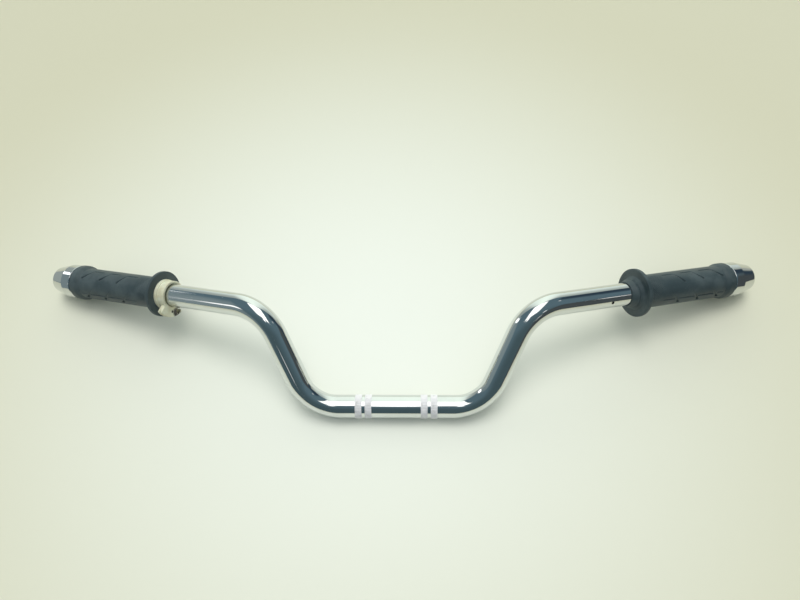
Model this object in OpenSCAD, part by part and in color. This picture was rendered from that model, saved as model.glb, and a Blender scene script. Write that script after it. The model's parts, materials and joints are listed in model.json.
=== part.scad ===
// Motorcycle handlebar with its grips, throttle tube and bar-end weights, lying as it rests
// on a table. Origin: the middle of the clamp section, on the tube's axis.
// +X points to the rider's left grip, +Y the way the risers climb, +Z away from the table.

/* [Tube] */
// Outside diameter of the tube
tube_d = 22.2; // [22:0.1:22.4]
// Wall thickness of the tube
wall = 2; // [1.6:0.1:2.2]

/* [Bar shape] */
// Distance between the two lower corners
corner_span = 166; // [156:1:190]
// Distance from the middle to an upper corner, along X
reach = 124.7; // [115:0.1:140]
// Rise from the clamp section to the upper corners
rise = 96.5; // [85:0.5:120]
// Radius of the lower bends, at the tube's axis
lower_bend_r = 43.5; // [38:0.5:46]
// Radius of the upper bends, at the tube's axis
upper_bend_r = 46; // [38:0.5:48]
// Angle by which the grips sweep back
pullback = 20.1; // [14:0.1:26]
// Angle by which the grips point up
upsweep = 3.3; // [0:0.1:6]
// Angle of the risers to the table, at which the end weights also touch it
lie_angle = 39.15; // [36:0.01:42]
// Distance from the left upper corner to the tube's end
arm_length = 225.6; // [220:0.1:240]
// How much longer the arm is on the throttle's side
throttle_side_extra = 2.5; // [0:0.1:4]

/* [Knurling] */
// Distance between the middles of the two knurled pairs
knurl_span = 62.4; // [56:0.2:70]
// Width of one knurled band
knurl_w = 6.4; // [5:0.1:8]
// Gap between the two bands of a pair
knurl_gap = 3; // [2:0.1:5]

/* [Grips] */
// Diameter of the left grip's barrel
left_barrel_d = 32.7; // [31:0.1:34]
// Diameter of the throttle grip's barrel
throttle_barrel_d = 31.7; // [30:0.1:33]
// Diameter of the left grip's flange
left_flange_d = 47.4; // [42:0.2:50]
// Diameter of the throttle grip's flange
throttle_flange_d = 45.6; // [42:0.2:50]
// Thickness of the inner flange
flange_t = 3.5; // [2.5:0.1:4]
// Diameter of the outer collar
collar_d = 36.4; // [35:0.1:37]
// Distance from the upper corner to the left grip's flange
left_flange_at = 114.4; // [112:0.2:118]
// Distance from the upper corner to the throttle grip's flange
throttle_flange_at = 116.5; // [114:0.2:118]

/* [Throttle] */
// Radial clearance of the throttle tube on the bar
throttle_clearance = 0.08; // [0.03:0.01:0.1]
// Radius of the cable quadrant
quadrant_r = 22.5; // [21:0.1:22.8]

/* [End weights] */
// Length of an end weight outside the tube
weight_length = 29.2; // [26:0.1:32]
// Diameter of an end weight at the grip
weight_d = 35.4; // [34:0.1:36]
// Diameter of an end weight where its outer edge starts to round
weight_end_d = 28.2; // [26:0.1:30]
// Length of an inner weight
inner_weight_length = 84; // [70:1:90]

/* [Hidden] */
$fn = 96;

cut = 1;
tube_r = tube_d / 2;
bore_r = tube_r - wall;

// Directions of the bar as it lies: up and forward are those of the ridden motorcycle.
up = [0, cos(lie_angle), sin(lie_angle)];
forward = [0, -sin(lie_angle), cos(lie_angle)];
outward = [1, 0, 0];

// The two corners of the left half, the riser's direction and the arm's direction
lower_corner = [corner_span / 2, 0, 0];
upper_corner = reach * outward + rise * up;
riser = unit(upper_corner - lower_corner);
arm = cos(upsweep) * cos(pullback) * outward + sin(upsweep) * up
    - cos(upsweep) * sin(pullback) * forward;

// Sleeves that join the bends to the straight runs
weld_w = 0.5;
weld_h = 0.005;

// Knurled bands stand this much proud
knurl_h = 0.2;

// Hole that locates the left switch housing
locating_hole_r = 1.5;
locating_hole_at = 83;
locating_hole_angle = 113;

// Throttle tube
sleeve_r = 12.8;
sleeve_end = 227.4;
running_r = tube_r + throttle_clearance;
drum_r = 15;
drum_front = 105.2;
drum_face = 106.2;
drum_rim = 112.8;
quadrant_front = 105.7;
quadrant_back = 110.5;
quadrant_from = 127;
quadrant_to = 214;
groove_depth = 2.4;
groove_w = 2;
nipple_r = 3.1;
nipple_at = 18.3;
nipple_angle = 202;
nipple_depth = 4;
lead_in_r = 11.9;
lead_in_depth = 2.5;

// Grips
grip_length = 110.5;
hub_r = 14.4;
hub_h = 10.6;
left_bond_r = tube_r;
collar_w = 7.5;
flare_w = 3.5;
slit_w = 1.1;
slit_depth = 1.2;
slit_slant = 44;
high_slits = [46, 69, 92.5];
high_slit_angle = 38;
high_slit_length = 13;
low_slits = [40, 64, 88];
low_slit_angle = 122;
low_slit_length = 17;

// End weights
weight_shoulder = 11;
weight_round = 3;
spigot_length = 7;
spigot_r = bore_r - 0.1;
screw_r = 3;
screw_hole_r = 3.3;
head_r = 5.6;
head_h = 3.6;
head_recess_r = 6.6;
head_recess_depth = 7.5;
washer_t = 1.5;
washer_r = 5.2;
washer_split = 1;
thread_length = 16;

// Inner weights
inner_weight_r = 7;
inner_gap = 1;
cushion_gap = 0.06;
cushion_w = 9;
cushion_seat_r = 6.2;
retainer_w = 12;
retainer_r = 8;
stud_r = 2.1;
stud_hole_r = 2.3;
stud_reach = tube_r - 0.4;

screw_seat = arm_length + weight_length - head_recess_depth;
inner_out = arm_length - spigot_length - inner_gap;
inner_in = inner_out - inner_weight_length;
outer_cushion_at = inner_out - 6 - cushion_w;
inner_cushion_at = inner_in + 6;
cushion_r = bore_r - cushion_gap;
retainer_at = (inner_in + inner_out - retainer_w) / 2;

function unit(v) = v / norm(v);

// A unit vector square to v, as near to w as it can be
function square_to(v, w) = unit(w - (w * v) * v);

// Puts the local axes at a point, with local X and Y along the given directions
module placed(point, x, y) {
  z = cross(x, y);
  multmatrix([
    [x.x, y.x, z.x, point.x],
    [x.y, y.y, z.y, point.y],
    [x.z, y.z, z.z, point.z],
    [0, 0, 0, 1]
  ])
    children();
}

// Local Z runs out along the left arm from its upper corner, local X is the top of the grip
module on_left() {
  x = square_to(arm, up);
  placed(upper_corner, x, cross(arm, x)) children();
}

module on_right() {
  mirror([1, 0, 0]) on_left() children();
}

// Where the parts at the tube's end sit, whose places are given for the left arm
module on_end(side) {
  if (side == "left") on_left() children();
  else on_right() translate([0, 0, throttle_side_extra]) children();
}

// A round bar between two points along the arm, riser or clamp section
module run(from, direction, length, r) {
  x = square_to(direction, forward);
  placed(from, x, cross(direction, x)) cylinder(r = r, h = length);
}

// A short sleeve, a hair wider than the bar, that joins a bend's end to the run beside it
module weld(point, direction, r) {
  run(point - weld_w * direction, direction, 2 * weld_w, r + weld_h);
}

function turn_angle(a, b) = acos(a * b);
function turn_length(a, b, bend_r) = bend_r * tan(turn_angle(a, b) / 2);

// A bend from direction a to direction b whose straight runs would meet at the corner
module bend(corner, a, b, bend_r, r) {
  inward = square_to(a, b);
  start = corner - a * turn_length(a, b, bend_r);
  placed(start + bend_r * inward, -inward, a)
    rotate_extrude(angle = turn_angle(a, b), $fn = 192)
      translate([bend_r, 0]) circle(r = r);
  weld(start, a, r);
  weld(corner + b * turn_length(a, b, bend_r), b, r);
}

// The bends, the riser and the arm of the left half, whose arm has the given length
module half_bar(r, length) {
  inset = weld_w / 2;
  t1 = turn_length(outward, riser, lower_bend_r) + inset;
  t2 = turn_length(riser, arm, upper_bend_r) + inset;
  riser_length = norm(upper_corner - lower_corner) - t1 - t2;
  bend(lower_corner, outward, riser, lower_bend_r, r);
  run(lower_corner + riser * t1, riser, riser_length, r);
  bend(upper_corner, riser, arm, upper_bend_r, r);
  run(upper_corner + arm * t2, arm, length - t2, r);
}

// The bent bar as a solid of the given radius, run on by past at both ends
module whole_bar(r, past = 0) {
  clamp_half = corner_span / 2 - turn_length(outward, riser, lower_bend_r) - weld_w / 2;
  run(-clamp_half * outward, outward, 2 * clamp_half, r);
  half_bar(r, arm_length + past);
  mirror([1, 0, 0]) half_bar(r, arm_length + throttle_side_extra + past);
}

module knurled_bands() {
  for (pair = [-1, 1], band = [-1, 1]) {
    x = pair * knurl_span / 2 + band * (knurl_gap + knurl_w) / 2;
    translate([x, 0, 0]) rotate([0, 90, 0])
      cylinder(r = tube_r + knurl_h, h = knurl_w, center = true);
  }
}

// Two round holes through the wall for the retainer's studs
module stud_holes() {
  translate([0, 0, retainer_at + retainer_w / 2]) rotate([90, 0, 0])
    cylinder(r = stud_hole_r, h = tube_d + 2 * cut, center = true);
}

module handlebar_tube() {
  color("gainsboro") difference() {
    union() {
      whole_bar(tube_r);
      knurled_bands();
    }
    whole_bar(bore_r, cut);
    on_end("left") stud_holes();
    on_end("right") stud_holes();
    on_left() translate([0, 0, locating_hole_at]) rotate([0, 90, locating_hole_angle])
      cylinder(r = locating_hole_r, h = tube_d);
  }
}

// Outline of a grip between its flange and its end, as radius and distance along the arm
function grip_outline(at, bond_r, flange_r, barrel_r) = [
  [bond_r, at],
  [flange_r - 0.6, at],
  [flange_r, at + 0.6],
  [flange_r, at + flange_t - 0.8],
  [flange_r - 0.8, at + flange_t],
  [barrel_r + 0.8, at + flange_t + 0.4],
  [barrel_r, at + flange_t + 1.4],
  [barrel_r, at + grip_length - collar_w - flare_w],
  [collar_d / 2 - 0.4, at + grip_length - collar_w - 0.5],
  [collar_d / 2, at + grip_length - collar_w + 1],
  [collar_d / 2, at + grip_length - 1],
  [collar_d / 2 - 1, at + grip_length],
  [bond_r, at + grip_length]
];

// Two rows of slanted slits, whose places are given from the flange, and the same again behind
module slits(flange_at, barrel_r) {
  for (turn = [0, 180]) {
    for (at = high_slits) slit(flange_at + at, turn + high_slit_angle, high_slit_length, barrel_r);
    for (at = low_slits) slit(flange_at + at, turn + low_slit_angle, low_slit_length, barrel_r);
  }
}

module slit(at, angle, length, barrel_r) {
  rotate([0, 0, angle]) translate([barrel_r, 0, at]) rotate([slit_slant - 90, 0, 0])
    cube([2 * slit_depth, slit_w, length], center = true);
}

module left_grip() {
  barrel_r = left_barrel_d / 2;
  color("darkslategray") on_left() difference() {
    union() {
      rotate_extrude()
        polygon(grip_outline(left_flange_at, left_bond_r, left_flange_d / 2, barrel_r));
      rotate_extrude() polygon([
        [left_bond_r, left_flange_at - hub_h],
        [left_bond_r + 0.9, left_flange_at - hub_h],
        [hub_r, left_flange_at - 0.4 * hub_h],
        [hub_r + 0.6, left_flange_at],
        [hub_r + 0.6, left_flange_at + cut],
        [left_bond_r, left_flange_at + cut]
      ]);
    }
    slits(left_flange_at, barrel_r);
  }
}

module throttle_grip() {
  barrel_r = throttle_barrel_d / 2;
  color("darkslategray") on_right() difference() {
    rotate_extrude()
      polygon(grip_outline(throttle_flange_at, sleeve_r, throttle_flange_d / 2, barrel_r));
    slits(throttle_flange_at, barrel_r);
  }
}

// Part of a ring round the arm's axis, between two angles
module sector(r_in, r_out, z_from, z_to, from, to) {
  rotate([0, 0, from]) rotate_extrude(angle = to - from)
    translate([r_in, z_from]) square([r_out - r_in, z_to - z_from]);
}

module throttle_tube() {
  groove_at = (quadrant_front + quadrant_back) / 2;
  color("beige") on_right() difference() {
    union() {
      rotate_extrude() polygon([
        [running_r, drum_front],
        [running_r + 1.8, drum_front],
        [drum_r - 0.8, drum_face],
        [drum_r - 0.8, drum_rim],
        [drum_r, drum_rim],
        [drum_r, throttle_flange_at],
        [sleeve_r, throttle_flange_at],
        [sleeve_r, sleeve_end],
        [running_r, sleeve_end]
      ]);
      sector(drum_r - 2, quadrant_r, quadrant_front, quadrant_back, quadrant_from, quadrant_to);
    }
    sector(quadrant_r - groove_depth, quadrant_r + cut, groove_at - groove_w / 2,
      groove_at + groove_w / 2, quadrant_from - cut, nipple_angle);
    translate([0, 0, drum_front - cut])
      cylinder(r = lead_in_r, h = lead_in_depth + cut);
    rotate([0, 0, nipple_angle]) translate([nipple_at, 0, quadrant_front - cut])
      cylinder(r = nipple_r, h = nipple_depth + cut, $fn = 48);
  }
}

// A chromed weight with a spigot in the tube and a recess for the screw's head
module end_weight(side) {
  weight_r = weight_d / 2;
  end_r = weight_end_d / 2;
  end = arm_length + weight_length;
  round_at = end - weight_round;
  steps = 8;
  color("silver") on_end(side) difference() {
    rotate_extrude() polygon(concat(
      [
        [0, arm_length - spigot_length],
        [spigot_r - 0.6, arm_length - spigot_length],
        [spigot_r, arm_length - spigot_length + 0.6],
        [spigot_r, arm_length],
        [weight_r - 0.5, arm_length],
        [weight_r, arm_length + 0.5],
        [weight_r, arm_length + weight_shoulder]
      ],
      [for (i = [0 : steps]) [
        end_r - weight_round * (1 - cos(i * 90 / steps)),
        round_at + weight_round * sin(i * 90 / steps)
      ]],
      [[0, end]]
    ));
    translate([0, 0, arm_length - spigot_length - cut])
      cylinder(r = screw_hole_r, h = weight_length + spigot_length + 2 * cut);
    translate([0, 0, screw_seat])
      cylinder(r = head_recess_r, h = head_recess_depth + cut);
  }
}

module weight_screw(side) {
  slot_w = 1.3;
  slot_depth = 2.2;
  slot_length = 6.4;
  shank_from = inner_out - thread_length;
  head_at = screw_seat + washer_t;
  color("lightgray") on_end(side) difference() {
    union() {
      translate([0, 0, shank_from]) cylinder(r = screw_r, h = head_at - shank_from);
      translate([0, 0, head_at]) cylinder(r = head_r, h = head_h - 1);
      translate([0, 0, head_at + head_h - 1]) cylinder(r1 = head_r, r2 = head_r - 1.4, h = 1);
    }
    for (turn = [0, 90])
      rotate([0, 0, turn]) translate([0, 0, head_at + head_h])
        cube([slot_length, slot_w, 2 * slot_depth], center = true);
  }
}

module lock_washer(side) {
  color("gray") on_end(side) translate([0, 0, screw_seat]) difference() {
    cylinder(r = washer_r, h = washer_t);
    translate([0, 0, -cut]) cylinder(r = screw_hole_r, h = washer_t + 2 * cut);
    translate([0, -washer_split / 2, -cut])
      cube([washer_r + cut, washer_split, washer_t + 2 * cut]);
  }
}

// A steel rod, necked where its two rubber rings sit, drilled for the screw
module inner_weight(side) {
  color("dimgray") on_end(side) difference() {
    translate([0, 0, inner_in]) cylinder(r = inner_weight_r, h = inner_weight_length);
    for (at = [inner_cushion_at, outer_cushion_at])
      translate([0, 0, at]) difference() {
        cylinder(r = inner_weight_r + cut, h = cushion_w);
        translate([0, 0, -cut]) cylinder(r = cushion_seat_r, h = cushion_w + 2 * cut);
      }
    translate([0, 0, inner_out - thread_length - 2])
      cylinder(r = screw_r, h = thread_length + 2 + cut);
    translate([0, 0, retainer_at + retainer_w / 2]) rotate([90, 0, 0])
      cylinder(r = stud_r, h = 2 * inner_weight_r + cut, center = true);
  }
}

module cushion(side, at) {
  lip = 0.8;
  color("black") on_end(side) rotate_extrude() polygon([
    [cushion_seat_r, at],
    [cushion_r - lip, at],
    [cushion_r, at + lip],
    [cushion_r, at + 0.35 * cushion_w],
    [cushion_r - lip, at + 0.5 * cushion_w],
    [cushion_r, at + 0.65 * cushion_w],
    [cushion_r, at + cushion_w - lip],
    [cushion_r - lip, at + cushion_w],
    [cushion_seat_r, at + cushion_w]
  ]);
}

// A split spring sleeve with two studs
module weight_retainer(side) {
  split_w = 2;
  color("slategray") on_end(side) translate([0, 0, retainer_at]) difference() {
    union() {
      cylinder(r = retainer_r, h = retainer_w);
      translate([0, 0, retainer_w / 2]) rotate([90, 0, 0])
        cylinder(r = stud_r, h = 2 * stud_reach, center = true);
    }
    translate([0, 0, -cut]) cylinder(r = inner_weight_r, h = retainer_w + 2 * cut);
    translate([0, -split_w / 2, -cut])
      cube([retainer_r + cut, split_w, retainer_w + 2 * cut]);
  }
}

handlebar_tube();
left_grip();
throttle_grip();
throttle_tube();
end_weight("left");  // left_end_weight
end_weight("right");  // right_end_weight
weight_screw("left");  // left_weight_screw
weight_screw("right");  // right_weight_screw
lock_washer("left");  // left_lock_washer
lock_washer("right");  // right_lock_washer
inner_weight("left");  // left_inner_weight
inner_weight("right");  // right_inner_weight
cushion("left", outer_cushion_at);  // left_outer_cushion
cushion("right", outer_cushion_at);  // right_outer_cushion
cushion("left", inner_cushion_at);  // left_inner_cushion
cushion("right", inner_cushion_at);  // right_inner_cushion
weight_retainer("left");  // left_weight_retainer
weight_retainer("right");  // right_weight_retainer
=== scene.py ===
"""Looks of a motorcycle handlebar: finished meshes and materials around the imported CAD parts.

Sizes here are millimetres in the CAD frame and become Blender's metres when a mesh is made.
Places on an arm are given as in the CAD model: s runs out along the arm from its upper corner,
and phi is the angle round the arm, from its top towards the motorcycle's front.
"""

import json
from math import atan2, cos, pi, radians, sin, tan

import bmesh
import bpy
import numpy as np
from mathutils import Matrix, Vector


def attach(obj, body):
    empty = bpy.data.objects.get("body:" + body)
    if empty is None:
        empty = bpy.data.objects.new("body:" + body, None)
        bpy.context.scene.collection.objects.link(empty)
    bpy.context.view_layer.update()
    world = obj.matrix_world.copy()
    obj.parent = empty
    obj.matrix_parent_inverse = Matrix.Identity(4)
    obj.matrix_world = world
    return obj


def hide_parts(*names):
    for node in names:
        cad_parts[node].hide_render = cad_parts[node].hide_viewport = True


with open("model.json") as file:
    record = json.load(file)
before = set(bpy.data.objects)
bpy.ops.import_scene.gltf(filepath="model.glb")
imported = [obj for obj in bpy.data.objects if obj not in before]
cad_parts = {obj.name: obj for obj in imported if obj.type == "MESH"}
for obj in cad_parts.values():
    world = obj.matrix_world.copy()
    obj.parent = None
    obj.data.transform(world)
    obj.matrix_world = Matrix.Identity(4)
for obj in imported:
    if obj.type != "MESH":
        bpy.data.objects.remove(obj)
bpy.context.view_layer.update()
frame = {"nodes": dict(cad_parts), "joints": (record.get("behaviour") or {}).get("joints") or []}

MM = 0.001


# ---------------------------------------------------------------- directions of the bar

def unit(v):
    """v at length 1."""
    return v / np.linalg.norm(v)


def square_to(v, w):
    """A unit vector square to v, as near to w as it can be."""
    return unit(w - (w @ v) * v)


OUTWARD = np.array([1.0, 0.0, 0.0])
OTHER_SIDE = np.array([-1.0, 1.0, 1.0])
TWIST = frame["joints"][0]
TWIST_AT = 165.0

ARM = unit(np.array(TWIST["axis"]) * OTHER_SIDE)
UPPER_CORNER = np.array(TWIST["pos_m"]) / MM * OTHER_SIDE - TWIST_AT * ARM
UP = unit(UPPER_CORNER * [0, 1, 1])
ARM_TOP = square_to(ARM, UP)
ARM_FRONT = np.cross(ARM, ARM_TOP)

CORNER_SPAN = 166.0
LOWER_CORNER = CORNER_SPAN / 2 * OUTWARD
RISER = unit(UPPER_CORNER - LOWER_CORNER)
LOWER_BEND_R = 43.5
UPPER_BEND_R = 46.0
TUBE_END = {"left": 225.6, "right": 228.1}

# ---------------------------------------------------------------- sizes of the parts

TUBE_R = 11.1
BORE_R = 9.1
END_CHAMFER = 0.5
TUBE_SEGMENTS = 192
HOLE_SEGMENTS = 64
BEND_STEPS = 40
LOWER_BEND_OVAL = 0.93
KNURL_MIDDLE = 31.2
KNURL_W = 6.4
KNURL_GAP = 3.0
KNURL_CREST = 0.2
KNURL_VALLEY = -0.1
LOCATING_HOLE = {"s": 83.0, "phi": 113.0, "r": 1.5}
STUD_HOLE_R = 2.3
STUD_HOLE_INSET = 50.0

FLANGE_AT = {"left": 114.4, "right": 116.5}
GRIP_LENGTH = 110.5
GRIP_BORE = {"left": 11.1, "right": 12.8}
BARREL_R = {"left": 16.35, "right": 15.85}
FLANGE_R = {"left": 23.7, "right": 22.8}
FLANGE_T = 3.5
COLLAR_R = 18.2
COLLAR_W = 7.5
FLARE_W = 3.5
HUB_H = 10.6
GRIP_SEGMENTS = 288


# ---------------------------------------------------------------- mesh helpers

def ramp(x, low, high):
    """0 below low, 1 above high and smooth between."""
    t = np.clip((np.asarray(x, float) - low) / (high - low), 0, 1)
    return t * t * (3 - 2 * t)


def on_arm(side, s, r, phi):
    """Points on an arm, in millimetres in the CAD frame; phi in degrees."""
    a = np.radians(phi)
    local = (np.multiply.outer(r * np.cos(a), ARM_TOP) + np.multiply.outer(r * np.sin(a), ARM_FRONT)
             + np.multiply.outer(s * np.ones_like(a), ARM))
    point = UPPER_CORNER + local
    return point if side == "left" else point * OTHER_SIDE


def arm_direction(side, phi):
    """The direction out of an arm at an angle."""
    d = cos(radians(phi)) * ARM_TOP + sin(radians(phi)) * ARM_FRONT
    return d if side == "left" else d * OTHER_SIDE


def filleted(corners, steps=6):
    """A closed outline of (r, s) points from (r, s, fillet) corners, whose fillets are short arcs."""
    points = []
    count = len(corners)
    for i, (r, s, fillet) in enumerate(corners):
        here = np.array([r, s])
        before = np.array(corners[i - 1][:2]) - here
        after = np.array(corners[(i + 1) % count][:2]) - here
        if fillet == 0:
            points.append(here)
            continue
        half = np.arccos(np.clip(unit(before) @ unit(after), -1, 1)) / 2
        reach = min(fillet / tan(half), 0.48 * np.linalg.norm(before), 0.48 * np.linalg.norm(after))
        start, end = here + reach * unit(before), here + reach * unit(after)
        for t in np.linspace(0, 1, steps):
            points.append((1 - t) ** 2 * start + 2 * t * (1 - t) * here + t * t * end)
    return np.array(points)


def with_steps(outline, step, s_from, s_to, r_least):
    """The same closed outline with points at most step apart between two places on its outer side."""
    points = []
    for a, b in zip(outline, np.roll(outline, -1, axis=0)):
        points.append(a)
        outer = min(a[0], b[0]) > r_least
        inside = min(a[1], b[1]) < s_to and max(a[1], b[1]) > s_from
        count = int(np.ceil(np.linalg.norm(b - a) / step)) if outer and inside else 1
        for t in range(1, count):
            points.append(a + (b - a) * t / count)
    return np.array(points)


def ring_mesh(name, rings, kinds=None):
    """A closed mesh from rings of points, each ring joined to the next and the last to the first.

    kinds gives the material number of the strip after each ring.
    """
    rings = np.asarray(rings, float) * MM
    n, m = rings.shape[:2]
    i, j = np.meshgrid(np.arange(n), np.arange(m), indexing="ij")
    i2, j2 = (i + 1) % n, (j + 1) % m
    faces = np.stack([i * m + j, i * m + j2, i2 * m + j2, i2 * m + j], -1).reshape(-1, 4)
    mesh = bpy.data.meshes.new(name)
    mesh.from_pydata(rings.reshape(-1, 3).tolist(), [], faces.tolist())
    if kinds is not None:
        mesh.polygons.foreach_set("material_index", np.repeat(kinds, m).astype(np.int32))
    shape = bmesh.new()
    shape.from_mesh(mesh)
    bmesh.ops.recalc_face_normals(shape, faces=shape.faces)
    shape.to_mesh(mesh)
    shape.free()
    piece = bpy.data.objects.new(name, mesh)
    bpy.context.scene.collection.objects.link(piece)
    return piece


def lathe(name, side, outline, segments, relief=None):
    """A ring-shaped part round an arm's axis from a closed (r, s) outline; relief gives the radii."""
    phi = np.arange(segments) * 360.0 / segments
    rings = []
    for r, s in outline:
        radius = r * np.ones(segments) if relief is None else relief(r, s, phi)
        rings.append(on_arm(side, s, radius, phi))
    return ring_mesh(name, rings)


def drilled(piece, holes):
    """Cuts round holes, given as (start, end, radius), out of a piece."""
    cutters = bmesh.new()
    for start, end, radius in holes:
        run = Vector(end - start) * MM
        turned = run.to_track_quat("Z", "Y").to_matrix().to_4x4()
        place = Matrix.Translation(Vector(start + end) / 2 * MM) @ turned
        bmesh.ops.create_cone(cutters, cap_ends=True, segments=HOLE_SEGMENTS, radius1=radius * MM,
                              radius2=radius * MM, depth=run.length, matrix=place)
    mesh = bpy.data.meshes.new("cutters")
    cutters.to_mesh(mesh)
    cutters.free()
    cutter = bpy.data.objects.new("cutters", mesh)
    bpy.context.scene.collection.objects.link(cutter)
    cut = piece.modifiers.new("holes", "BOOLEAN")
    cut.object = cutter
    cut.solver = "MANIFOLD"
    uncut = piece.data
    evaluated = piece.evaluated_get(bpy.context.evaluated_depsgraph_get())
    piece.data = bpy.data.meshes.new_from_object(evaluated)
    piece.modifiers.clear()
    bpy.data.objects.remove(cutter)
    bpy.data.meshes.remove(uncut)
    bpy.data.meshes.remove(mesh)


def finished(piece, body, stands_for, materials, crease=35):
    """Shades a piece, gives it its materials, hides the CAD node it stands for and ties it to its body."""
    piece.data.shade_smooth()
    piece.data.set_sharp_from_angle(angle=radians(crease))
    for i, material in enumerate(materials):
        if i < len(piece.data.materials):
            piece.data.materials[i] = material
        else:
            piece.data.materials.append(material)
    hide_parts(stands_for)
    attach(piece, body)
    return piece


# ---------------------------------------------------------------- material helpers

def put(tree, kind, inputs=(), **settings):
    """A new node; inputs maps socket names or numbers to values or to other nodes' sockets."""
    node = tree.nodes.new(kind)
    for key, value in settings.items():
        setattr(node, key, value)
    for key, value in dict(inputs).items():
        if isinstance(value, bpy.types.NodeSocket):
            tree.links.new(value, node.inputs[key])
        else:
            node.inputs[key].default_value = value
    return node


def math_node(tree, operation, a, b=0.0):
    """The result of a math node."""
    return put(tree, "ShaderNodeMath", {0: a, 1: b}, operation=operation).outputs[0]


def spread(tree, value, low, high, to_low=0.0, to_high=1.0):
    """Maps value from low..high to to_low..to_high, smoothly and clamped."""
    sockets = {"Value": value, "From Min": low, "From Max": high, "To Min": to_low, "To Max": to_high}
    return put(tree, "ShaderNodeMapRange", sockets, interpolation_type="SMOOTHSTEP").outputs["Result"]


def noise(tree, place, size_mm, detail=3.0, stretch=(1, 1, 1)):
    """Noise with features about size_mm wide."""
    placed = put(tree, "ShaderNodeMapping", {"Vector": place, "Scale": stretch}).outputs[0]
    sockets = {"Vector": placed, "Scale": 1 / (size_mm * MM), "Detail": detail, "Roughness": 0.55}
    return put(tree, "ShaderNodeTexNoise", sockets).outputs["Fac"]


def spots(tree, place, spacing_mm, radius_mm, share=1.0):
    """Small round spots on a share of the cells of a jumbled grid: 1 inside a spot."""
    cells = put(tree, "ShaderNodeTexVoronoi", {"Vector": place, "Scale": 1 / (spacing_mm * MM)})
    edge = radius_mm / spacing_mm
    near = spread(tree, cells.outputs["Distance"], 0.5 * edge, edge, 1.0, 0.0)
    chance = put(tree, "ShaderNodeSeparateColor", {0: cells.outputs["Color"]}).outputs[0]
    chosen = math_node(tree, "LESS_THAN", chance, share)
    return math_node(tree, "MULTIPLY", near, chosen)


def mixed(tree, factor, a, b):
    """Colour a, turning to b where factor is 1."""
    return put(tree, "ShaderNodeMix", {"Factor": factor, "A": colour_of(a), "B": colour_of(b)},
               data_type="RGBA").outputs["Result"]


def colour_of(value):
    """A colour socket as it is, or a plain colour with its fourth value."""
    return value if isinstance(value, bpy.types.NodeSocket) else (*value, 1.0)


def near_point(tree, place, point, radius_mm):
    """1 at a point, given in millimetres, falling to 0 at a distance."""
    spot = tuple(np.array(point) * MM)
    away = put(tree, "ShaderNodeVectorMath", {0: place, 1: spot}, operation="DISTANCE")
    return spread(tree, away.outputs["Value"], 0.0, radius_mm * MM, 1.0, 0.0)


def new_material(name, **sockets):
    """A Principled material; returns the material, its tree, its shader and its object coordinates."""
    material = bpy.data.materials.new(name)
    material.use_nodes = True
    tree = material.node_tree
    shader = tree.nodes["Principled BSDF"]
    for key, value in sockets.items():
        shader.inputs[key.replace("_", " ")].default_value = value
    return material, tree, shader, put(tree, "ShaderNodeTexCoord").outputs["Object"]


def feed(tree, shader, colour=None, roughness=None, bumps=()):
    """Links colour, roughness and bumps, given as (height, depth in mm), to a shader."""
    if colour is not None:
        tree.links.new(colour, shader.inputs["Base Color"])
    if roughness is not None:
        tree.links.new(roughness, shader.inputs["Roughness"])
    normal = None
    for height, depth in bumps:
        sockets = {"Height": height, "Distance": depth * MM, "Strength": 1.0}
        if normal is not None:
            sockets["Normal"] = normal
        normal = put(tree, "ShaderNodeBump", sockets).outputs["Normal"]
    if normal is not None:
        tree.links.new(normal, shader.inputs["Normal"])


# ---------------------------------------------------------------- materials

def chrome(name, tint, haze, pit_share):
    """Bright chrome with a faint waviness, hazy patches, fine scratches and small rusty pits."""
    material, tree, shader, place = new_material(name, Metallic=1.0)
    patches = noise(tree, place, 22.0, 4.0)
    pits = spots(tree, place, 5.0, 0.32, pit_share)
    scratches = spread(tree, noise(tree, place, 0.5, 2.0, (0.08, 1.0, 1.0)), 0.66, 0.74)
    smudged = mixed(tree, spread(tree, patches, 0.42, 0.72, 0.0, 0.35), tint, [0.86 * c for c in tint])
    colour = mixed(tree, pits, smudged, (0.16, 0.11, 0.08))
    rough = math_node(tree, "ADD", spread(tree, patches, 0.35, 0.75, haze, haze + 0.07),
                      math_node(tree, "MULTIPLY", math_node(tree, "MAXIMUM", pits, scratches), 0.16))
    wave = noise(tree, place, 9.0, 1.0)
    feed(tree, shader, colour, rough, [(wave, 0.010), (scratches, -0.002), (pits, -0.05)])
    return material


def worn_chrome():
    """The tube's chrome, hazier and more pitted beside the throttle drum."""
    material, tree, shader, place = new_material("chrome_tube", Metallic=1.0)
    near_drum = near_point(tree, place, on_arm("right", 96.0, 0.0, np.array(0.0)), 52.0)
    patches = noise(tree, place, 24.0, 4.0)
    scattered = spots(tree, place, 6.0, 0.30, 0.22)
    crowded = math_node(tree, "MULTIPLY", spots(tree, place, 2.6, 0.34, 0.35), near_drum)
    pits = math_node(tree, "MAXIMUM", scattered, crowded)
    scratches = spread(tree, noise(tree, place, 0.5, 2.0, (0.10, 1.0, 1.0)), 0.67, 0.75)
    tint = mixed(tree, spread(tree, patches, 0.42, 0.74, 0.0, 0.4), (0.73, 0.75, 0.74), (0.64, 0.66, 0.65))
    colour = mixed(tree, pits, tint, (0.17, 0.12, 0.09))
    haze = math_node(tree, "ADD", spread(tree, patches, 0.38, 0.78, 0.035, 0.10),
                     math_node(tree, "MULTIPLY", near_drum, 0.16))
    rough = math_node(tree, "ADD", haze, math_node(tree, "MULTIPLY",
                      math_node(tree, "MAXIMUM", pits, scratches), 0.18))
    wave = noise(tree, place, 10.0, 1.0)
    feed(tree, shader, colour, rough, [(wave, 0.012), (scratches, -0.002), (pits, -0.05)])
    return material


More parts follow.
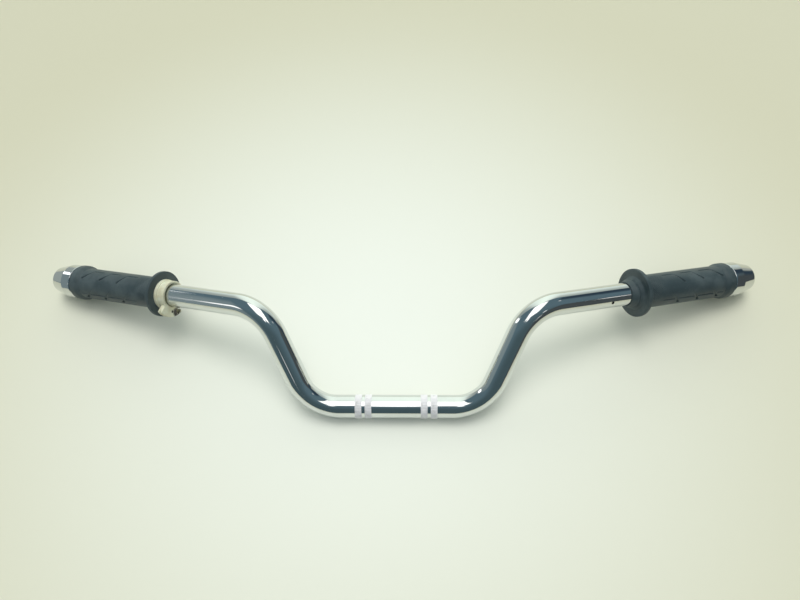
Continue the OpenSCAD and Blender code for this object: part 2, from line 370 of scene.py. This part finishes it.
def knurled_chrome():
    """The knurled bands' chrome, whitened by its fine ridges, with grime in the valleys."""
    material, tree, shader, place = new_material("chrome_knurled", Metallic=0.35)
    grain = noise(tree, place, 0.6, 2.0)
    grime = noise(tree, place, 3.0, 3.0)
    colour = mixed(tree, spread(tree, grime, 0.52, 0.75, 0.0, 0.6), (0.86, 0.84, 0.86), (0.60, 0.58, 0.57))
    feed(tree, shader, colour, spread(tree, grain, 0.3, 0.7, 0.30, 0.46), [(grain, 0.03)])
    return material


def bare_steel(name, dark, light, rough, grain_mm):
    """Plain or oiled steel with turning marks and small stains."""
    material, tree, shader, place = new_material(name, Metallic=1.0)
    stains = noise(tree, place, 7.0, 5.0)
    marks = noise(tree, place, grain_mm, 2.0)
    colour = mixed(tree, spread(tree, stains, 0.35, 0.7), dark, light)
    feed(tree, shader, colour, spread(tree, marks, 0.3, 0.7, rough, rough + 0.18), [(marks, 0.012)])
    return material


def rubber(name, dark, dusty, grain_mm=0.5):
    """Matt moulded rubber: fine grain, dusty patches and a few pale scuffs."""
    material, tree, shader, place = new_material(name, Specular_IOR_Level=0.42)
    dust = noise(tree, place, 16.0, 5.0)
    grain = noise(tree, place, grain_mm, 2.0)
    scuffs = spread(tree, noise(tree, place, 1.2, 3.0, (0.35, 1.0, 1.0)), 0.64, 0.74, 0.0, 0.35)
    shade = mixed(tree, spread(tree, dust, 0.38, 0.72), dark, dusty)
    colour = mixed(tree, scuffs, shade, [1.7 * c for c in dusty])
    rough = spread(tree, dust, 0.35, 0.7, 0.40, 0.56)
    feed(tree, shader, colour, rough, [(grain, 0.05), (scuffs, -0.03)])
    return material


def aged_nylon(pocket_dark_at, hole_shade_at):
    """Ivory nylon that has yellowed, darkened in a ragged patch round the cable pocket, with painted shade
    round the small hole's mouth and small stains.
    """
    material, tree, shader, place = new_material("nylon_ivory", Subsurface_Weight=0.12,
                                                 Subsurface_Scale=0.002)
    shader.inputs["Subsurface Radius"].default_value = (1.0, 0.8, 0.5)
    age = noise(tree, place, 9.0, 4.0)
    fine = noise(tree, place, 0.8, 3.0)
    yellowed = mixed(tree, spread(tree, age, 0.35, 0.7), (0.76, 0.76, 0.60), (0.64, 0.60, 0.42))
    ragged = noise(tree, place, 2.4, 4.0)
    # A dark, ragged patch round the nipple pocket.
    pocket = near_point(tree, place, pocket_dark_at, 8.5)
    pocket_dark = math_node(tree, "MULTIPLY", pocket, spread(tree, ragged, 0.3, 0.5))
    # Painted shade: a dark disc round the small hole's mouth.
    hole_shade = near_point(tree, place, hole_shade_at, 2.2)
    # Joins the pocket's dark patch with the painted shade round the small hole.
    pocket_dark_and_hole_shade = spread(tree, math_node(tree, "MAXIMUM", pocket_dark, hole_shade), 0.12, 0.55)
    specks = math_node(tree, "MULTIPLY", spots(tree, place, 3.4, 0.3, 0.25), 0.7)
    colour = mixed(tree, math_node(tree, "MAXIMUM", pocket_dark_and_hole_shade, specks), yellowed, (0.035, 0.028, 0.022))
    rough = math_node(tree, "SUBTRACT", spread(tree, fine, 0.3, 0.7, 0.40, 0.56),
                      math_node(tree, "MULTIPLY", pocket_dark_and_hole_shade, 0.25))
    feed(tree, shader, colour, rough, [(fine, 0.03), (pocket_dark_and_hole_shade, 0.12)])
    return material


# ---------------------------------------------------------------- the tube

def straight(start, direction, stations):
    """Path stations along a straight run: (point, direction, bend's inward direction, oval, knurled)."""
    return [(start + t * direction, direction, UP, 1.0, 0.0) for t in stations]


def bend(corner, a, b, bend_r, steps, oval):
    """Path stations round a bend from direction a to b, ovalised towards its middle."""
    angle = np.arccos(a @ b)
    inward = square_to(a, b)
    start = corner - a * bend_r * tan(angle / 2)
    centre = start + bend_r * inward
    stations = []
    for k in range(steps + 1):
        turn = angle * k / steps
        out = -cos(turn) * inward + sin(turn) * a
        squeeze = 1 - (1 - oval) * float(ramp(min(k, steps - k) / steps, 0.0, 0.3))
        stations.append((centre + bend_r * out, cos(turn) * a + sin(turn) * inward, -out, squeeze, 0.0))
    return stations


def bend_reach(a, b, bend_r):
    """How far from its corner a bend begins."""
    return bend_r * tan(np.arccos(a @ b) / 2)


def clamp_stations():
    """Places and knurling along half the clamp section, with a short ramp at each band's edge."""
    edge = 0.12
    stations = [(0.0, 0.0), (10.0, 0.0), (20.0, 0.0)]
    for band in (-1, 1):
        middle = KNURL_MIDDLE + band * (KNURL_GAP + KNURL_W) / 2
        low, high = middle - KNURL_W / 2, middle + KNURL_W / 2
        stations += [(low, 0.0), (low + edge, 1.0), (high - edge, 1.0), (high, 0.0)]
    return stations + [(48.0, 0.0)]


def half_path(side, steps, places, knurled):
    """Path stations of half the tube from its middle to its end, drawn for the left side."""
    high_in = bend_reach(RISER, ARM, UPPER_BEND_R)
    path = [(t * OUTWARD, OUTWARD, UP, 1.0, k) for t, k in (clamp_stations() if knurled else [(0.0, 0.0)])]
    path += bend(LOWER_CORNER, OUTWARD, RISER, LOWER_BEND_R, steps, LOWER_BEND_OVAL)
    path += bend(UPPER_CORNER, RISER, ARM, UPPER_BEND_R, steps, 1.0)
    free = [s for s in places if s > high_in + 1]
    path += straight(UPPER_CORNER, ARM, free + [TUBE_END[side] - 0.5, TUBE_END[side]])
    return path


def tube_rings(side, steps, places, radius, end_radius, knurled=False):
    """Rings of one half of the tube, from its middle to its end, in a frame carried along without twist."""
    angles = np.arange(TUBE_SEGMENTS) * 2 * pi / TUBE_SEGMENTS
    rib = np.resize([KNURL_VALLEY, KNURL_CREST, KNURL_CREST, KNURL_VALLEY], TUBE_SEGMENTS)
    normal, rings = UP, []
    path = half_path(side, steps, places, knurled)
    for k, (point, direction, inward, oval, knurl) in enumerate(path):
        normal = square_to(direction, normal)
        across = np.cross(direction, normal)
        r = (end_radius if k == len(path) - 1 else radius) + knurl * rib
        offset = (r * np.cos(angles))[:, None] * normal + (r * np.sin(angles))[:, None] * across
        offset -= (1 - oval) * (offset @ inward)[:, None] * inward
        ring = point + offset
        rings.append(ring if side == "left" else ring * OTHER_SIDE)
    return rings


def near_holes(side):
    """Places along an arm with short faces, so that a hole there doesn't spoil the shading round it."""
    places = [70.0, 76.0]
    hole = LOCATING_HOLE["s"]
    places += [hole + step for step in (-4, -3, -2, -1, 0, 1, 2, 3, 4)]
    stud = TUBE_END[side] - STUD_HOLE_INSET
    return places + [100.0] + [stud + step for step in (-4, -2, 0, 2, 4)]


# Numbers of the tube's three materials
OUTSIDE, KNURLED, BORE = 0, 1, 2


def handlebar_tube(materials):
    """The bent tube; materials are those of its outside, its knurled bands and its bore."""
    outer, inner = {}, {}
    for side in ("left", "right"):
        places = near_holes(side)
        outer[side] = tube_rings(side, BEND_STEPS, places, TUBE_R, TUBE_R - END_CHAMFER, knurled=True)
        inner[side] = tube_rings(side, BEND_STEPS // 2, places, BORE_R, BORE_R + END_CHAMFER)
    outside = outer["right"][:0:-1] + outer["left"]
    bore = inner["left"][:0:-1] + inner["right"]
    kinds = []
    for a, b in zip(outside, outside[1:]):
        middle = abs((a[:, 0].mean() + b[:, 0].mean()) / 2) - KNURL_MIDDLE
        in_band = abs(abs(middle) - (KNURL_GAP + KNURL_W) / 2) < KNURL_W / 2
        kinds.append(KNURLED if in_band else OUTSIDE)
    kinds += [OUTSIDE] + [BORE] * (len(bore) - 1) + [OUTSIDE]
    piece = ring_mesh("tube", outside + bore, kinds)
    for material in materials:
        piece.data.materials.append(material)
    hole = LOCATING_HOLE
    out = arm_direction("left", hole["phi"])
    start = on_arm("left", hole["s"], BORE_R - 3, np.array(hole["phi"]))
    holes = [(start, start + 8 * out, hole["r"])]
    for side in ("left", "right"):
        stud = on_arm(side, TUBE_END[side] - STUD_HOLE_INSET, 0.0, np.array(0.0))
        reach = (TUBE_R + 3) * arm_direction(side, 90)
        holes.append((stud - reach, stud + reach, STUD_HOLE_R))
    drilled(piece, holes)
    return finished(piece, "bar", "handlebar_tube", materials, crease=30)


# ---------------------------------------------------------------- the grips

# Grooves are lines of (distance from the flange, phi) points; the same again lie half a turn behind.
HIGH_GROOVES = [
    [(28, 22), (40.5, 23), (44.5, 40), (49, 60)],
    [(50.5, 22), (63, 22), (66.5, 39), (72.5, 59)],
    [(73, 22), (86, 22), (90.5, 40), (96.5, 59)],
]
LOW_GROOVES = [
    [(32, 93), (38, 113), (44, 138)],
    [(56.5, 95), (62.5, 115), (68, 138)],
    [(80.5, 96), (86, 116), (92, 138)],
]
BORDERS = [[(24, 119), (37, 119)], [(41.5, 119), (61, 120)], [(66, 120), (85, 120)], [(90, 119), (97, 119)]]
HIGH_SHAPE = {"narrow": 0.7, "wide": 1.9, "shallow": 0.9, "deep": 1.3}
LOW_SHAPE = {"narrow": 0.5, "wide": 2.6, "shallow": 0.35, "deep": 1.6}
BORDER_SHAPE = {"narrow": 0.8, "wide": 0.8, "shallow": 0.6, "deep": 0.6}
TEXTURE_PITCH = 2.3
TEXTURE_HEIGHT = 0.7
TEXTURE_SPAN = (14.0, 112.0)


def groove(s, around, line, narrow, wide, shallow, deep):
    """How deep a groove along a line cuts at each point; it gets wider and deeper towards the line's end."""
    place = np.stack([np.full_like(around, s), around], -1)
    corners = np.array(line)
    runs = np.linalg.norm(np.diff(corners, axis=0), axis=1)
    cut = np.zeros_like(around)
    for k, run in enumerate(runs):
        a, b = corners[k], corners[k + 1]
        t = np.clip((place - a) @ (b - a) / run ** 2, 0, 1)
        along = ((runs[:k].sum() + t * run) / runs.sum()) ** 3
        away = np.linalg.norm(place - a - t[:, None] * (b - a), axis=1)
        reach = (narrow + (wide - narrow) * along) / 2
        cut = np.maximum(cut, (shallow + (deep - shallow) * along) * ramp(reach - away, -0.25, 0.3))
    return cut


def grip_relief(flange, barrel_r):
    """The radius of each point of a grip, with its slits, border grooves and diamond texture."""
    barrel_from = flange + FLANGE_T + 1.5
    barrel_to = flange + GRIP_LENGTH - COLLAR_W - FLARE_W - 0.3
    grooves = []
    for lines, shape in ((HIGH_GROOVES, HIGH_SHAPE), (LOW_GROOVES, LOW_SHAPE), (BORDERS, BORDER_SHAPE)):
        for line in lines:
            grooves.append(([(at, radians(angle) * barrel_r) for at, angle in line], shape))

    def relief(r, s, phi):
        if abs(r - barrel_r) > 0.01 or not barrel_from < s < barrel_to:
            return r * np.ones_like(phi)
        half = phi % 180.0
        around = np.radians(half) * barrel_r
        depth = -diamonds(s - flange, half, around)
        for line, shape in grooves:
            if line[0][0] - 3 < s - flange < line[-1][0] + 3:
                depth = np.maximum(depth, groove(s - flange, around, line, **shape))
        return r - depth

    return relief


def diamonds(s, phi, around):
    """The height of a fine diamond texture beside the flange."""
    low, high = TEXTURE_SPAN
    patch = ramp(phi, low, low + 4) * (1 - ramp(phi, high - 4, high))
    patch_end = 25.5 - 7.0 * ramp(phi, 55, high)
    patch = patch * (1 - ramp(s, patch_end - 0.6, patch_end)) * ramp(s, 5.2, 6.0)
    u, v = pi * around / TEXTURE_PITCH, pi * s / TEXTURE_PITCH
    return patch * (TEXTURE_HEIGHT * np.abs(np.cos(u + v) * np.cos(u - v)) - 0.5 * TEXTURE_HEIGHT)


def grip(side, material):
    """A rubber grip: flange, barrel with its relief, and collar; the left one also has a hub."""
    flange, bore = FLANGE_AT[side], GRIP_BORE[side]
    barrel_r, flange_r = BARREL_R[side], FLANGE_R[side]
    end = flange + GRIP_LENGTH
    face = [(bore, flange, 0.3), (flange_r, flange, 0.5)]
    if side == "left":
        face = [
            (bore, flange - HUB_H, 0.2), (12.1, flange - HUB_H, 0.6), (14.0, flange - 5.2, 0.2),
            (14.6, flange - 4.6, 0.3), (14.6, flange - 3.8, 0.3), (14.3, flange - 3.0, 0.8),
            (16.6, flange + 0.15, 1.2), (20.6, flange + 0.15, 0.2), (20.9, flange, 0.2),
            (flange_r, flange, 0.5),
        ]
    outline = filleted(face + [
        (flange_r, flange + FLANGE_T, 0.6),
        (barrel_r, flange + FLANGE_T + 0.3, 1.2),
        (barrel_r, end - COLLAR_W - FLARE_W, 0.8),
        (COLLAR_R - 0.4, end - COLLAR_W - 0.5, 0.8),
        (COLLAR_R, end - COLLAR_W + 1.0, 1.5),
        (COLLAR_R, end, 1.0),
        (bore, end, 0.3),
    ])
    outline = with_steps(outline, 0.48, flange + FLANGE_T, end - COLLAR_W, 15.0)
    piece = lathe(f"grip_{side}", side, outline, GRIP_SEGMENTS, grip_relief(flange, barrel_r))
    node = {"left": "left_grip", "right": "throttle_grip"}[side]
    body = {"left": "bar", "right": "throttle"}[side]
    return finished(piece, body, node, [material], crease=50)


# ---------------------------------------------------------------- the throttle tube

DRUM_FRONT = 105.2
DRUM_R = 15.0
DRUM_BODY_R = 14.3
RIM_AT = 113.4
LEAD_IN_R = 11.9
SLEEVE_R = 12.8
SLEEVE_END = 227.4
RUNNING_R = 11.18
LOBE = {"from": 127.0, "to": 214.0, "front": 105.5, "back": 110.5, "r": 22.3}
GROOVE_DEPTH = 2.4
GROOVE_W = 2.0
NIPPLE = {"phi": 202.0, "r_at": 18.3, "r": 3.1, "depth": 4.0}
LOBE_HOLE = {"phi": 173.0, "r_at": 16.6, "r": 0.8, "depth": 2.0}
LOBE_SIDES_R = 19.0
LOBE_EDGE_ROUND = 0.5
LEAD_IN_DEPTH = 2.5
THROTTLE_SEGMENTS = 360


def throttle_relief(r, s, phi):
    """The radius of each point of the throttle tube, with the cable quadrant's lobe and its groove."""
    lobe = LOBE
    radius = r * np.ones_like(phi)
    if r < DRUM_BODY_R - 0.1 or not lobe["front"] <= s <= lobe["back"]:
        return radius
    arc = np.radians(np.minimum(phi - lobe["from"], lobe["to"] - phi)) * LOBE_SIDES_R
    rise = ramp(arc, 0.0, 1.6) * (lobe["r"] - DRUM_BODY_R)
    middle = (lobe["front"] + lobe["back"]) / 2
    if abs(s - middle) < GROOVE_W / 2:
        rise = rise - GROOVE_DEPTH * ramp(NIPPLE["phi"] - phi, 0.0, 2.0) * ramp(rise, 3.0, 6.0)
    edge = min(s - lobe["front"], lobe["back"] - s)
    rise = rise - LOBE_EDGE_ROUND * (1 - ramp(edge, 0.0, 0.6)) * ramp(rise, 1.0, 2.0)
    return radius + rise


def throttle_tube(material):
    """The sleeve with its cable drum, whose lobe has the nipple's pocket and a small hole."""
    flange = FLANGE_AT["right"]
    lobe, middle = LOBE, (LOBE["front"] + LOBE["back"]) / 2
    hair, above = 0.05, 3.0
    walls = [lobe["front"], lobe["front"] + 0.3, lobe["front"] + 0.6,
             middle - GROOVE_W / 2 - hair, middle - GROOVE_W / 2 + hair,
             middle + GROOVE_W / 2 - hair, middle + GROOVE_W / 2 + hair,
             lobe["back"] - 0.6, lobe["back"] - 0.3, lobe["back"], lobe["back"] + hair]
    front = filleted([(LEAD_IN_R, DRUM_FRONT + LEAD_IN_DEPTH, 0), (LEAD_IN_R, DRUM_FRONT, 0.4),
                      (DRUM_BODY_R - 0.5, DRUM_FRONT, 0.3), (DRUM_BODY_R, walls[0] - hair, 0)])
    drum = np.array([(DRUM_BODY_R, s) for s in walls])
    back = filleted([(DRUM_BODY_R, RIM_AT - 1.2, 0), (DRUM_BODY_R - 0.5, RIM_AT - 0.9, 0.2),
                     (DRUM_BODY_R - 0.5, RIM_AT - 0.2, 0.2), (DRUM_R - 0.3, RIM_AT, 0.3),
                     (DRUM_R, RIM_AT + 0.6, 0.3),
                     (DRUM_R, flange, 0), (SLEEVE_R, flange, 0), (SLEEVE_R, SLEEVE_END, 0.3),
                     (RUNNING_R, SLEEVE_END, 0.3), (RUNNING_R, DRUM_FRONT + LEAD_IN_DEPTH, 0)])
    outline = np.concatenate([front, drum, back])
    piece = lathe("throttle_tube_nylon", "right", outline, THROTTLE_SEGMENTS, throttle_relief)
    piece.data.materials.append(material)
    holes = []
    for hole in (NIPPLE, LOBE_HOLE):
        start = on_arm("right", lobe["front"] - above, hole["r_at"], np.array(hole["phi"]))
        holes.append((start, start + (above + hole["depth"]) * ARM * OTHER_SIDE, hole["r"]))
    drilled(piece, holes)
    return finished(piece, "throttle", "throttle_tube", [material], crease=32)


# ---------------------------------------------------------------- the end weights

WEIGHT_LENGTH = 29.1
WEIGHT_R = 17.7
WEIGHT_SHOULDER = 11.0
WEIGHT_END_R = 13.5
SPIGOT_R = 9.0
SPIGOT_LENGTH = 7.0
SCREW_HOLE_R = 3.3
HEAD_RECESS_R = 6.6
HEAD_RECESS_DEPTH = 7.5


def end_weight(side, material):
    """The weight on the tube's end: a short cylinder, then a cone with a rounded end and a screw recess."""
    base = TUBE_END[side]
    end = base + WEIGHT_LENGTH
    outline = filleted([
        (SCREW_HOLE_R, base - SPIGOT_LENGTH, 0.2),
        (SPIGOT_R, base - SPIGOT_LENGTH, 0.6),
        (SPIGOT_R, base, 0.1),
        (WEIGHT_R, base, 1.2),
        (WEIGHT_R, base + WEIGHT_SHOULDER, 2.0),
        (WEIGHT_END_R - 0.25, end, 2.6),
        (HEAD_RECESS_R, end, 0.4),
        (HEAD_RECESS_R, end - HEAD_RECESS_DEPTH, 0.2),
        (SCREW_HOLE_R, end - HEAD_RECESS_DEPTH, 0.2),
    ], steps=10)
    outline = with_steps(outline, 1.0, base, end, SPIGOT_R + 0.5)
    piece = lathe(f"weight_{side}", side, outline, TUBE_SEGMENTS)
    return finished(piece, "bar", f"{side}_end_weight", [material], crease=40)


# ---------------------------------------------------------------- stage, light and camera

FLOOR_HEIGHT = -11.3
# Half of the table top's outline, as (x, y) from its near edge to its far edge
TABLE_OUTLINE = [(950, -1000), (510, 20), (510, 130), (690, 690), (1100, 2600)]


def floor():
    """A plain pale table top, with painted shade making it a little greyer away from the middle, where the
    light falls off.
    """
    corners = TABLE_OUTLINE + [(-x, y) for x, y in reversed(TABLE_OUTLINE)]
    shape = bmesh.new()
    shape.faces.new([shape.verts.new((x * MM, y * MM, 0.0)) for x, y in corners])
    bmesh.ops.triangulate(shape, faces=shape.faces[:])
    mesh = bpy.data.meshes.new("floor")
    shape.to_mesh(mesh)
    shape.free()
    top = bpy.data.objects.new("floor", mesh)
    top.location.z = FLOOR_HEIGHT * MM
    bpy.context.scene.collection.objects.link(top)
    material, tree, shader, place = new_material("table_top", Roughness=0.6, Specular_IOR_Level=0.25)
    # Painted shade: the colour darkens with distance from the middle, standing in for the light's falloff.
    middle = put(tree, "ShaderNodeVectorMath", {0: place, 1: (-0.03, 0.08, 0.0)}, operation="DISTANCE")
    far = spread(tree, middle.outputs["Value"], 0.0, 0.60)
    feed(tree, shader, mixed(tree, far, (0.86, 0.88, 0.80), (0.64, 0.62, 0.465)))
    mesh.materials.append(material)


def towards(azimuth, elevation):
    """A direction; azimuth 0 is +Y and 90 is +X."""
    a, e = radians(azimuth), radians(elevation)
    return sin(a) * cos(e), cos(a) * cos(e), sin(e)


LAMP_STRENGTH = 1.9
# Small lamps round the room, as (azimuth, elevation, half-width in degrees, strength)
SMALL_LAMPS = [
    (-117, 24, 5.0, 1.5), (-54, 13, 4.0, 2.0), (-58, 20, 4.0, 2.4), (-61, 27, 4.0, 3.2),
    (130, 37, 1.6, 1.6), (135, 25, 1.6, 1.2), (76, 50, 1.8, 1.0), (-163, 32, 2.0, 0.9),
    (110, 27, 1.5, 1.3), (-173.6, 71.2, 3.2, 1.9),
]


def studio():
    """Soft light from a long lamp above, a pale wall beyond the table and a dim room elsewhere."""
    world = bpy.data.worlds.new("studio")
    bpy.context.scene.world = world
    world.use_nodes = True
    tree = world.node_tree
    tree.nodes.clear()
    direction = put(tree, "ShaderNodeTexCoord").outputs["Generated"]
    x, y, z = put(tree, "ShaderNodeSeparateXYZ", {0: direction}).outputs
    # The dim room: darker behind the camera, paler at the left end, dark low and far on the right
    room = mixed(tree, spread(tree, y, -0.9, -0.2), (0.066, 0.104, 0.118), (0.112, 0.176, 0.212))
    room = mixed(tree, spread(tree, x, -0.70, -0.84), room, (0.235, 0.295, 0.310))
    low = math_node(tree, "MULTIPLY", spread(tree, x, 0.58, 0.70), spread(tree, z, 0.54, 0.46))
    room = mixed(tree, low, room, (0.072, 0.084, 0.088))
    far_right = math_node(tree, "MULTIPLY", spread(tree, x, 0.50, 0.60), spread(tree, y, 0.15, 0.40))
    room = mixed(tree, far_right, room, (0.035, 0.058, 0.082))
    # The wall beyond the table: brightest in the middle, with a sloping top edge
    ahead = math_node(tree, "MAXIMUM", y, 0.001)
    aside = math_node(tree, "ABSOLUTE", math_node(tree, "DIVIDE", x, ahead))
    height = math_node(tree, "DIVIDE", z, ahead)
    top = math_node(tree, "MAXIMUM", math_node(tree, "SUBTRACT", 1.75, aside), 0.62)
    wall = spread(tree, math_node(tree, "SUBTRACT", top, height), -0.12, 0.12)
    right_end = spread(tree, math_node(tree, "DIVIDE", x, ahead), 2.0, 1.35)
    wall = math_node(tree, "MULTIPLY", wall, right_end)
    wall = math_node(tree, "MULTIPLY", wall, spread(tree, y, 0.0, 0.08))
    backdrop = mixed(tree, spread(tree, aside, 0.0, 0.7), (1.16, 1.28, 1.16), (0.72, 0.81, 0.76))
    dimmer = math_node(tree, "MULTIPLY", spread(tree, height, 0.1, 0.6), spread(tree, aside, 0.35, 0.7))
    backdrop = mixed(tree, dimmer, backdrop, (0.48, 0.54, 0.51))
    backdrop = mixed(tree, spread(tree, aside, 0.8, 1.3), backdrop, (0.455, 0.48, 0.43))
    backdrop = mixed(tree, spread(tree, x, -0.35, -0.65), backdrop, (0.38, 0.43, 0.41))
    room = mixed(tree, wall, room, backdrop)
    # The long lamp above, and then the small ones
    above = math_node(tree, "MAXIMUM", z, 0.001)
    side_slope = math_node(tree, "ABSOLUTE", math_node(tree, "DIVIDE", x, above))
    fore_slope = math_node(tree, "DIVIDE", y, above)
    lamp = math_node(tree, "MULTIPLY", spread(tree, side_slope, 0.30, 0.24),
                     spread(tree, fore_slope, 0.66, 0.50))
    lamp = math_node(tree, "MULTIPLY", lamp, spread(tree, fore_slope, -0.30, -0.20))
    room = mixed(tree, lamp, room, (LAMP_STRENGTH, LAMP_STRENGTH, 0.97 * LAMP_STRENGTH))
    for azimuth, elevation, size, strength in SMALL_LAMPS:
        aim = put(tree, "ShaderNodeVectorMath", {0: direction, 1: towards(azimuth, elevation)},
                  operation="DOT_PRODUCT").outputs["Value"]
        spot = spread(tree, aim, cos(radians(1.3 * size)), cos(radians(0.7 * size)))
        room = mixed(tree, spot, room, (strength, strength, strength))
    # The camera itself sees a plain backdrop
    light = put(tree, "ShaderNodeBackground", {"Color": room, "Strength": 1.0}).outputs[0]
    plain = put(tree, "ShaderNodeBackground", {"Color": (0.60, 0.63, 0.61, 1.0), "Strength": 1.0}).outputs[0]
    seen = put(tree, "ShaderNodeLightPath").outputs["Is Camera Ray"]
    shown = put(tree, "ShaderNodeMixShader", {0: seen, 1: light, 2: plain}).outputs[0]
    put(tree, "ShaderNodeOutputWorld", {"Surface": shown})


# Lights that chrome does not mirror, as (slope of the direction towards +Y, width in degrees, strength)
SOFT_LIGHTS = {"key_light": (0.36, 32.0, 1.05), "fill_light": (0.0, 140.0, 0.85)}


def soft_lights():
    """The lamp's light on the table and the room's even light, apart from what the chrome mirrors."""
    for name, (slope, width, strength) in SOFT_LIGHTS.items():
        data = bpy.data.lights.new(name, "SUN")
        data.energy, data.angle, data.color = strength, radians(width), (1.0, 1.0, 0.97)
        sun = bpy.data.objects.new(name, data)
        sun.rotation_euler.x = -atan2(slope, 1.0)
        sun.visible_glossy = False
        bpy.context.scene.collection.objects.link(sun)


CAMERA_AT = (22.18, -186.71, 553.74)
CAMERA_DOWN = 61.25
CAMERA_YAW = -3.84
CAMERA_ROLL = -3.50
LENS_MM = 27.0
SENSOR_MM = 36.0


def camera():
    """The camera, above and in front of the bar."""
    data = bpy.data.cameras.new("camera")
    data.lens, data.sensor_width, data.clip_start, data.clip_end = LENS_MM, SENSOR_MM, 0.01, 20.0
    seat = bpy.data.objects.new("camera", data)
    bpy.context.scene.collection.objects.link(seat)
    down, yaw, roll = radians(CAMERA_DOWN), radians(CAMERA_YAW), radians(CAMERA_ROLL)
    ahead = np.array([sin(yaw) * cos(down), cos(yaw) * cos(down), -sin(down)])
    level = np.array([cos(yaw), -sin(yaw), 0.0])
    above = np.cross(level, ahead)
    right = level * cos(roll) + above * sin(roll)
    upward = above * cos(roll) - level * sin(roll)
    rows = [[right[i], upward[i], -ahead[i], CAMERA_AT[i] * MM] for i in range(3)]
    seat.matrix_world = Matrix(rows + [[0.0, 0.0, 0.0, 1.0]])
    bpy.context.scene.camera = seat


# ---------------------------------------------------------------- the scene

tube_steel = bare_steel("steel_bore", (0.20, 0.17, 0.15), (0.42, 0.40, 0.38), 0.45, 0.6)
handlebar_tube([worn_chrome(), knurled_chrome(), tube_steel])
grip_rubber = rubber("rubber_grip", (0.040, 0.060, 0.067), (0.073, 0.099, 0.106))
for side in ("left", "right"):
    grip(side, grip_rubber)
# Where the pocket's dark patch and the painted shade round the small hole are centred.
pocket = on_arm("right", LOBE["front"] + 0.5, NIPPLE["r_at"], np.array(NIPPLE["phi"] - 8))
hole_shade = on_arm("right", LOBE["front"], LOBE_HOLE["r_at"], np.array(LOBE_HOLE["phi"]))
throttle_tube(aged_nylon(pocket, hole_shade))
weight_chrome = chrome("chrome_weight", (0.68, 0.70, 0.70), 0.03, 0.12)
for side in ("left", "right"):
    end_weight(side, weight_chrome)

CARRIED_OVER = {
    "weight_screw": bare_steel("zinc_screw", (0.45, 0.44, 0.40), (0.68, 0.68, 0.66), 0.26, 0.35),
    "lock_washer": bare_steel("steel_spring", (0.24, 0.26, 0.30), (0.46, 0.48, 0.52), 0.28, 0.4),
    "inner_weight": bare_steel("steel_blackened", (0.07, 0.07, 0.08), (0.22, 0.22, 0.23), 0.34, 0.5),
    "weight_retainer": bare_steel("steel_clip", (0.26, 0.28, 0.32), (0.48, 0.50, 0.54), 0.28, 0.4),
    "outer_cushion": rubber("rubber_cushion", (0.012, 0.012, 0.012), (0.03, 0.03, 0.03), 0.3),
}
CARRIED_OVER["inner_cushion"] = CARRIED_OVER["outer_cushion"]
for side in ("left", "right"):
    for part, material in CARRIED_OVER.items():
        node = frame["nodes"][f"{side}_{part}"]
        node.data.materials.clear()
        node.data.materials.append(material)

floor()
studio()
soft_lights()
camera()
bpy.context.scene.view_settings.view_transform = "Standard"
